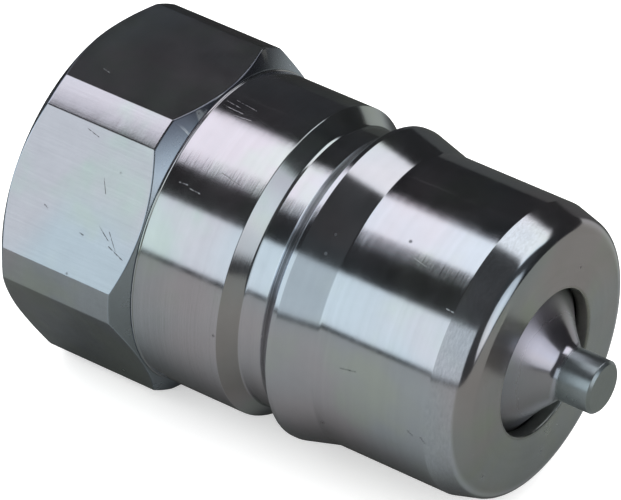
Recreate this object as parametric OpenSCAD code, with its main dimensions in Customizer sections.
// Quick disconnect coupler, male half (nipple) with a spring-loaded poppet valve.
// The axis of the coupling is X: the threaded port opens toward -X and the
// poppet pin points toward +X. The origin is the centre of the rear port face.
// One hexagon flat faces +Z and one faces -Z. Millimetres.
// Names ending in _x are places along the axis, and in _r radii about it.

/* [Hexagon and port] */
// Width of the wrench hexagon across its flats
hex_af = 34; // [33.8:0.1:34.6]
// Radius of the turned surface that cuts the hexagon's corners
hex_corner_r = 18.67; // [18.4:0.01:19]
// Where the hexagon's front cone ends and the front body starts
joint_x = 16.1; // [15.9:0.1:16.3]
// Minor radius of the pipe thread in the port
port_minor_r = 12.0585; // [12:0.0005:12.1]
// Major radius of the pipe thread in the port
port_major_r = 13.2205; // [13.1:0.0005:13.3]
// Pitch of the pipe thread
port_pitch = 1.814; // [1.7:0.001:1.85]
// Number of thread grooves in the port
port_turns = 8; // [6:1:8]

/* [Nose] */
// Radius of the nose that enters the socket half
nose_r = 15.7; // [15.5:0.05:15.75]
// Position of the nose's flat front face
face_x = 54.6; // [54.2:0.1:55]
// Outer radius of the flat front face
face_r = 13.1; // [13:0.05:13.2]
// Radius of the rounded front edge
edge_r = 2.0; // [1.8:0.05:2.1]
// Where the lead-in cone starts on the nose
lead_x = 50.6; // [50.3:0.1:50.9]
// Radius of the mouth in the front face
mouth_r = 7.87; // [7.8:0.01:8]
// Straight depth of the mouth before the seat
mouth_land = 1.5; // [1.3:0.1:1.7]
// Angle of the valve seat from the axis
seat_deg = 50; // [48:1:52]

/* [Locking groove and collar] */
// Radius of the plain barrel behind the groove
barrel_r = 16.75; // [16.7:0.05:16.9]
// Where the barrel ends and the groove's rear wall starts
barrel_x = 26.5; // [26.4:0.05:26.6]
// Radius of the groove's floor
groove_r = 15.15; // [15.1:0.05:15.3]
// Rear end of the crest's narrow land
crest_x0 = 32.6; // [32.5:0.05:32.7]
// Slope of the locking groove's front wall, from the axis
front_wall_deg = 43; // [41:1:45]
// Front end of the crest's narrow land
crest_x = 33.1; // [33:0.05:33.2]
// Radius of the collar's crest
crest_r = 16.85; // [16.8:0.05:17]
// Angle of the collar's front cone
collar_deg = 15; // [14:1:18]

/* [Poppet] */
// Radius of the pin
pin_r = 2.83; // [2.7:0.01:2.9]
// Position of the pin's tip
pin_tip_x = 61.4; // [61:0.1:61.8]
// Gap between the poppet's metal cone and the seat, square to the cone
cone_gap = 0.15; // [0.1:0.01:0.2]
// Radius of the metal rim of the poppet's cone
rim_r = 8.4; // [8.2:0.05:8.5]
// Outer radius of the valve seal
seal_r = 10.2; // [10:0.05:10.3]
// Radius of the guided rod
rod_r = 4.0; // [3.9:0.05:4.1]

/* [Valve guide and spring] */
// Radius of the valve chamber
chamber_r = 12.4; // [12.2:0.05:12.5]
// Shoulder that the guide rests on
guide_x = 30.2; // [30.1:0.1:30.3]
// Radius of the guide and seal bore
guide_bore_r = 13.4; // [13.35:0.05:13.45]
// Number of guide arms
arms = 3; // [3:1:4]
// Wire diameter of the spring
wire_d = 1.6; // [1.4:0.1:1.6]
// Mean radius of the spring's coils
coil_r = 7.6; // [7.55:0.05:7.65]
// Number of coils, with the two closed end coils
coils = 6; // [5:1:6]

/* [Hidden] */
$fn = 96;

over = 1;          // how far a cut runs past the surface it opens
end_gap = 0.02;    // clearance between parts that meet end to end
ring_gap = 0.03;   // clearance around the seals and the retaining ring
bore_gap = 0.05;   // radial clearance of metal parts in a bore

// seat: a cone that opens toward the rear from the end of the mouth
seat_x = face_x - mouth_land;
function seat_at(radius) = seat_x - (radius - mouth_r) / tan(seat_deg);
// surface parallel to the seat, a gap inside it
function inside_seat_at(radius, gap) = seat_at(radius + gap / cos(seat_deg));

// joint between the two bodies
rear_x = joint_x + 0.05;
body_thread_r = 14.5;
body_thread_end_x = 21.6;
body_core_r = 12;   // inner limit of the front body's blank, inside its bores

// spigot and its seal groove
spigot_r = guide_bore_r - bore_gap;
spigot_end_x = 27.3;
gland_x0 = 23.4;
gland_x1 = 26.5;
gland_r = 11.6;
seal_ring_in_r = gland_r + ring_gap;
backup_x0 = gland_x0 + end_gap;
backup_x1 = backup_x0 + 1;

// groove for the retaining ring
ring_x0 = 27.45;
ring_x1 = 28.65;

// rounded front edge, and the tangent to it from the start of the lead-in cone
edge_x = face_x - edge_r;
edge_inset = 0.03;   // how far profile corners lie inside the rounding
lead_run = edge_x - lead_x;
lead_rise = face_r - nose_r;
lead_reach = norm([lead_run, lead_rise]);
lead_deg = atan2(lead_rise, lead_run) + asin(edge_r / lead_reach);
lead_length = sqrt(pow(lead_reach, 2) - pow(edge_r, 2));
lead_end_x = lead_x + lead_length * cos(lead_deg);
lead_end_r = nose_r + lead_length * sin(lead_deg);

// locking groove: a 45 degree rear wall, and a front wall up to the crest
groove_x0 = barrel_x + barrel_r - groove_r;
groove_x1 = crest_x0 - (crest_r - groove_r) / tan(front_wall_deg);
foot_cut = 0.12;
crest_cut = 0.12;

// collar: a shallow front cone with a hollow blend to the nose
cone_end_x = crest_x + (crest_r - nose_r) / tan(collar_deg);
blend_r = 1.2;
blend_length = blend_r * tan(collar_deg / 2);

// poppet stack, from the head toward the rear
head_back_x = seat_x - 1.7;
seal_back_x = head_back_x - 1.98;
seal_spigot_r = 5.0;
cup_x1 = seal_back_x - end_gap;
cup_x0 = cup_x1 - 1.2;
cup_rim_x0 = cup_x0 - 1.0;
cup_rim_r = 9.7;
stem_flange_x0 = cup_x0 - 1.5;
rod_end_x = 24.0;
stud_r = 2.5;
stud_end_x = 42.0;

// guide
guide_x1 = guide_x - end_gap;
guide_x0 = guide_x1 - 1.5;
guide_ring_in_r = 11.6;
spring_seat_r = 8.8;
spring_seat_x = 30.0;
hub_x0 = 22.5;
hub_x1 = 31.5;
hub_r = 6.2;
rod_bore_r = rod_r + bore_gap;

// turns a profile of [x, r] points about the X axis
module turned() {
  rotate([0, 90, 0]) rotate_extrude() mirror([1, -1, 0]) children();
}

// tube from x0 to x1
module tube(x0, x1, outer_r, inner_r) {
  turned() translate([x0, inner_r]) square([x1 - x0, outer_r - inner_r]);
}

// rod from x0 to x1
module rod(x0, x1, radius) {
  translate([x0, 0, 0]) rotate([0, 90, 0]) cylinder(h = x1 - x0, r = radius);
}

// front body: barrel, locking groove, collar, nose, seat and valve chamber
module nose_body() {
  lip = 0.12;        // height of the small lip at the rear of the barrel
  mouth_cut = 0.25;  // chamfer at the mouth
  color([0.78, 0.79, 0.81]) difference() {
    union() {
      turned() polygon([
        // rear lip and barrel
        [rear_x, body_core_r], [rear_x, barrel_r + lip - 0.03], [rear_x + 0.03, barrel_r + lip],
        [rear_x + 0.15, barrel_r + 0.05], [rear_x + 0.4, barrel_r], [barrel_x, barrel_r],
        // locking groove
        [groove_x0 - foot_cut, groove_r + foot_cut], [groove_x0 + foot_cut, groove_r],
        [groove_x1 - foot_cut, groove_r], [groove_x1 + foot_cut, groove_r + foot_cut],
        // collar
        [crest_x0 - crest_cut, crest_r - crest_cut], [crest_x0 + crest_cut, crest_r],
        [crest_x, crest_r], [cone_end_x, nose_r],
        // nose, lead-in cone and front face
        [lead_x, nose_r],
        [lead_end_x + edge_inset * sin(lead_deg), lead_end_r - edge_inset * cos(lead_deg)],
        [face_x - edge_inset, face_r], [face_x, face_r - 0.2],
        // mouth, seat and chamber
        [face_x, mouth_r + mouth_cut], [face_x - mouth_cut, mouth_r], [seat_x, mouth_r],
        [seat_at(chamber_r), chamber_r], [guide_x, chamber_r], [guide_x, body_core_r]]);
      // rounded front edge
      turned() translate([edge_x, face_r]) circle(r = edge_r);
      // hollow blend from the collar's cone to the nose
      turned() difference() {
        polygon([
          [cone_end_x - blend_length * cos(collar_deg), nose_r + blend_length * sin(collar_deg)],
          [cone_end_x + blend_length, nose_r],
          [cone_end_x, nose_r - 0.2]]);
        translate([cone_end_x + blend_length, nose_r + blend_r]) circle(r = blend_r);
      }
    }
    // rear opening: thread, lead-in to the seal bore and the guide bore
    turned() polygon([
      [rear_x - over, body_core_r - over], [rear_x - over, body_thread_r + 0.4],
      [rear_x, body_thread_r + 0.4], [rear_x + 0.4, body_thread_r],
      [body_thread_end_x, body_thread_r], [body_thread_end_x + 1.3, guide_bore_r],
      [guide_x, guide_bore_r], [guide_x, body_core_r - over]]);
    // groove for the retaining ring
    tube(ring_x0, ring_x1, guide_bore_r + 0.7, body_core_r);
  }
}

// rear body: wrench hexagon, threaded port and the spigot that screws into the front body
module hex_adapter() {
  end_r = hex_af / 2 - 0.13;
  corner_run = 1.3 / 1.67 * (hex_corner_r - end_r);  // length of the corner chamfers
  neck_r = 13.6;
  thread_r = body_thread_r - bore_gap;
  flow_r = 10.4;
  flare_r = 11.0;
  mouth_r0 = port_major_r + 0.2;  // countersink of the port
  // thread groove: half widths at its mouth and its floor
  thread_mouth = 0.70;
  thread_floor = 0.14;
  thread_x = 2.2;                 // first groove
  color([0.76, 0.77, 0.79]) difference() {
    union() {
      intersection() {
        rotate([0, 90, 0]) rotate([0, 0, 30])
          cylinder(h = joint_x, r = hex_af / sqrt(3), $fn = 6);
        turned() polygon([
          [0, 0], [0, end_r], [corner_run, hex_corner_r],
          [joint_x - corner_run, hex_corner_r], [joint_x, end_r], [joint_x, 0]]);
      }
      // neck, screwed length and spigot with its seal groove
      turned() polygon([
        [joint_x - 1, 0], [joint_x - 1, neck_r], [joint_x + 1.1, neck_r],
        [joint_x + 1.5, thread_r], [body_thread_end_x - 0.6, thread_r],
        [body_thread_end_x, spigot_r], [gland_x0, spigot_r], [gland_x0, gland_r],
        [gland_x1, gland_r], [gland_x1, spigot_r], [spigot_end_x - 0.3, spigot_r],
        [spigot_end_x, spigot_r - 0.3], [spigot_end_x, 0]]);
    }
    // port bore, its countersink and the flow bore
    turned() polygon([
      [-over, 0], [-over, mouth_r0], [0, mouth_r0], [mouth_r0 - port_minor_r, port_minor_r],
      [joint_x + 0.3, port_minor_r], [joint_x + 1.5, flow_r], [spigot_end_x - 0.5, flow_r],
      [spigot_end_x + 0.1, flare_r], [spigot_end_x + over, flare_r], [spigot_end_x + over, 0]]);
    // thread grooves, one ring for each turn
    turned() for (i = [0:port_turns - 1])
      translate([thread_x + i * port_pitch, 0]) polygon([
        [-thread_mouth, port_minor_r - 0.3], [-thread_mouth, port_minor_r],
        [-thread_floor, port_major_r], [thread_floor, port_major_r],
        [thread_mouth, port_minor_r], [thread_mouth, port_minor_r - 0.3]]);
  }
}

// O-ring between the spigot and the front body, squeezed in its groove
module body_seal_ring() {
  width = 2.0;
  height = guide_bore_r - ring_gap - seal_ring_in_r;
  corner = 0.6;
  color([0.08, 0.08, 0.09]) turned() translate([backup_x1 + ring_gap, seal_ring_in_r]) union() {
    translate([corner, 0]) square([width - 2 * corner, height]);
    translate([0, corner]) square([width, height - 2 * corner]);
    for (x = [corner, width - corner]) for (y = [corner, height - corner])
      translate([x, y]) circle(r = corner);
  }
}

// plastic backup ring behind the O-ring
module body_backup_ring() {
  outer_r = guide_bore_r - 0.02;
  cut = 0.08;
  color([0.92, 0.91, 0.86]) turned() polygon([
    [backup_x0, seal_ring_in_r], [backup_x0, outer_r - cut], [backup_x0 + cut, outer_r],
    [backup_x1 - cut, outer_r], [backup_x1, outer_r - cut], [backup_x1, seal_ring_in_r]]);
}

// poppet head: pin, sealing cone, spigot for the seal and threaded stud
module poppet_head() {
  pin_x = inside_seat_at(pin_r, cone_gap);  // where the cone would meet the pin
  hollow_r = 1.3;                           // blend between the cone and the pin
  hollow_length = hollow_r * tan(seat_deg / 2);
  spigot_x = seal_back_x + 0.05;
  tip_cut = 0.35;
  stud_cut = 0.3;
  color([0.72, 0.74, 0.78]) turned() difference() {
    union() {
      polygon([
        [stud_end_x, 0], [stud_end_x, stud_r - stud_cut], [stud_end_x + stud_cut, stud_r],
        [spigot_x, stud_r], [spigot_x, seal_spigot_r], [head_back_x, seal_spigot_r],
        [head_back_x, rim_r], [inside_seat_at(rim_r, cone_gap), rim_r], [pin_x, pin_r],
        [pin_tip_x - tip_cut, pin_r], [pin_tip_x, pin_r - tip_cut], [pin_tip_x, 0]]);
      difference() {
        polygon([
          [pin_x - hollow_length * cos(seat_deg), pin_r + hollow_length * sin(seat_deg)],
          [pin_x + hollow_length, pin_r], [pin_x, pin_r - 0.2]]);
        translate([pin_x + hollow_length, pin_r + hollow_r]) circle(r = hollow_r);
      }
    }
    // keeps the profile on one side of the axis
    translate([0, -1]) square([100, 1]);
  }
}

// valve seal: a moulded ring with a conical face
module poppet_seal() {
  lip_depth = 0.9;  // from the start of the seat back to the lip
  lip_x = seat_x - lip_depth;
  lip_r = mouth_r + lip_depth * tan(seat_deg) - ring_gap / cos(seat_deg);
  inner_r = seal_spigot_r + ring_gap;
  back_cut = 0.7;
  color([0.10, 0.10, 0.11]) turned() polygon([
    [seal_back_x, inner_r], [seal_back_x, seal_r - back_cut], [seal_back_x + back_cut, seal_r],
    [inside_seat_at(seal_r, ring_gap), seal_r], [lip_x, lip_r], [lip_x, rim_r + ring_gap],
    [head_back_x - end_gap, rim_r + ring_gap], [head_back_x - end_gap, inner_r]]);
}

// cup washer that clamps the seal and centres the spring
module seal_retainer() {
  hole_r = stud_r + 0.1;
  rim_in_r = 8.75;
  cut = 0.4;
  color([0.80, 0.78, 0.70]) turned() polygon([
    [cup_x0, hole_r], [cup_x1, hole_r], [cup_x1, cup_rim_r - cut], [cup_x1 - cut, cup_rim_r],
    [cup_rim_x0, cup_rim_r], [cup_rim_x0, rim_in_r], [cup_x0, rim_in_r]]);
}

// guided stem: a flange that clamps the cup and a rod that runs in the guide
module poppet_stem() {
  flat_y = 4.75;
  end_cut = 0.4;
  color([0.66, 0.67, 0.70]) difference() {
    union() {
      rod(stem_flange_x0, cup_x0 - 0.01, 5.6);
      turned() polygon([
        [rod_end_x, 0], [rod_end_x, rod_r - end_cut], [rod_end_x + end_cut, rod_r],
        [stem_flange_x0 + 0.5, rod_r], [stem_flange_x0 + 0.5, 0]]);
    }
    // hole for the stud
    rod(stud_end_x - 1, cup_x0 + over, stud_r + 0.02);
    // two wrench flats at the flange
    for (side = [-1, 1]) translate([stem_flange_x0 - 0.5, side * (flat_y + 1) - 1, -7])
      cube([2.5, 2, 14]);
  }
}

// distance of the wire's centre from the guide's end of the spring, after some turns
function coil_x(turn, length) =
  let (start = 0.25 * wire_d, closed = 1.3 * wire_d)
  turn < 1 ? start + (closed - start) * turn :
  turn > coils - 1 ? length - closed + (closed - start) * (turn - coils + 1) :
  closed + (length - 2 * closed) * (turn - 1) / (coils - 2);

// compression spring with closed and ground ends
module poppet_spring() {
  end_clear = 0.01;
  length = cup_x0 - spring_seat_x - 2 * end_clear;
  per_turn = 30;             // wire sections in a turn
  last = coils * per_turn;   // index of the last section
  sides = 12;                // points around the wire
  points = [for (i = [0:last]) let (turn = i / per_turn, angle = 360 * turn)
    for (j = [0:sides - 1]) let (
      around = 360 * (j + 0.5) / sides,
      radius = coil_r + wire_d / 2 * cos(around),
      // clamping the ends grinds them flat
      x = min(length, max(0, coil_x(turn, length) + wire_d / 2 * sin(around))))
      [spring_seat_x + end_clear + x, radius * cos(angle), radius * sin(angle)]];
  skin = [for (i = [0:last - 1]) for (j = [0:sides - 1])
    let (here = i * sides, ahead = here + sides, k = (j + 1) % sides)
    each [[here + j, ahead + k, here + k], [here + j, ahead + j, ahead + k]]];
  end = last * sides;
  color([0.55, 0.56, 0.58]) polyhedron(
    points = points,
    faces = concat(skin,
      [for (j = [1:sides - 2]) [0, j, j + 1]],
      [for (j = [1:sides - 2]) [end, end + j + 1, end + j]]));
}

// valve guide: rim, arms, spring seat and hub
module valve_guide() {
  arm_width = 3.2;
  arm_z0 = spring_seat_r - 1;
  arm_z1 = guide_ring_in_r + 0.6;
  color([0.70, 0.69, 0.66]) difference() {
    union() {
      tube(guide_x0, guide_x1, guide_bore_r - bore_gap, guide_ring_in_r);
      tube(guide_x0, spring_seat_x, spring_seat_r, rod_bore_r);
      tube(hub_x0, hub_x1, hub_r, rod_bore_r);
      for (i = [0:arms - 1]) rotate([360 / arms * i, 0, 0])
        translate([guide_x0, -arm_width / 2, arm_z0])
          cube([spring_seat_x - guide_x0, arm_width, arm_z1 - arm_z0]);
    }
    // lead-in chamfer at the rear of the hub
    turned() polygon([
      [hub_x0 - 0.5, 0], [hub_x0 - 0.5, rod_bore_r + 0.9],
      [hub_x0 + 0.5, rod_bore_r - 0.1], [hub_x0 + 0.5, 0]]);
  }
}

// internal retaining ring, open over 40 degrees toward -Z, with two eyes for pliers
module guide_retaining_ring() {
  x0 = ring_x0 + ring_gap;
  x1 = ring_x1 - ring_gap;
  half_gap_deg = 20;
  reach = 20;  // length of the sides of the wedge that cuts the gap

  // places a part on both sides of the gap, this far from the axis
  module at_eyes(radius) {
    for (side = [-1, 1]) rotate([side * 26, 0, 0]) translate([0, 0, -radius]) children();
  }

  color([0.30, 0.30, 0.32]) difference() {
    union() {
      difference() {
        tube(x0, x1, guide_bore_r + 0.65, 12.3);
        translate([x0 - over, 0, 0]) rotate([0, 90, 0]) linear_extrude(height = 4)
          polygon([
            [0, 0], [reach * cos(half_gap_deg), -reach * sin(half_gap_deg)],
            [reach + 2, 0], [reach * cos(half_gap_deg), reach * sin(half_gap_deg)]]);
      }
      at_eyes(12.0) rod(x0, x1, 1.3);
    }
    at_eyes(11.9) rod(x0 - over, x1 + over, 0.6);
  }
}

nose_body();
hex_adapter();
body_seal_ring();
body_backup_ring();
poppet_head();
poppet_seal();
seal_retainer();
poppet_stem();
poppet_spring();
valve_guide();
guide_retaining_ring();
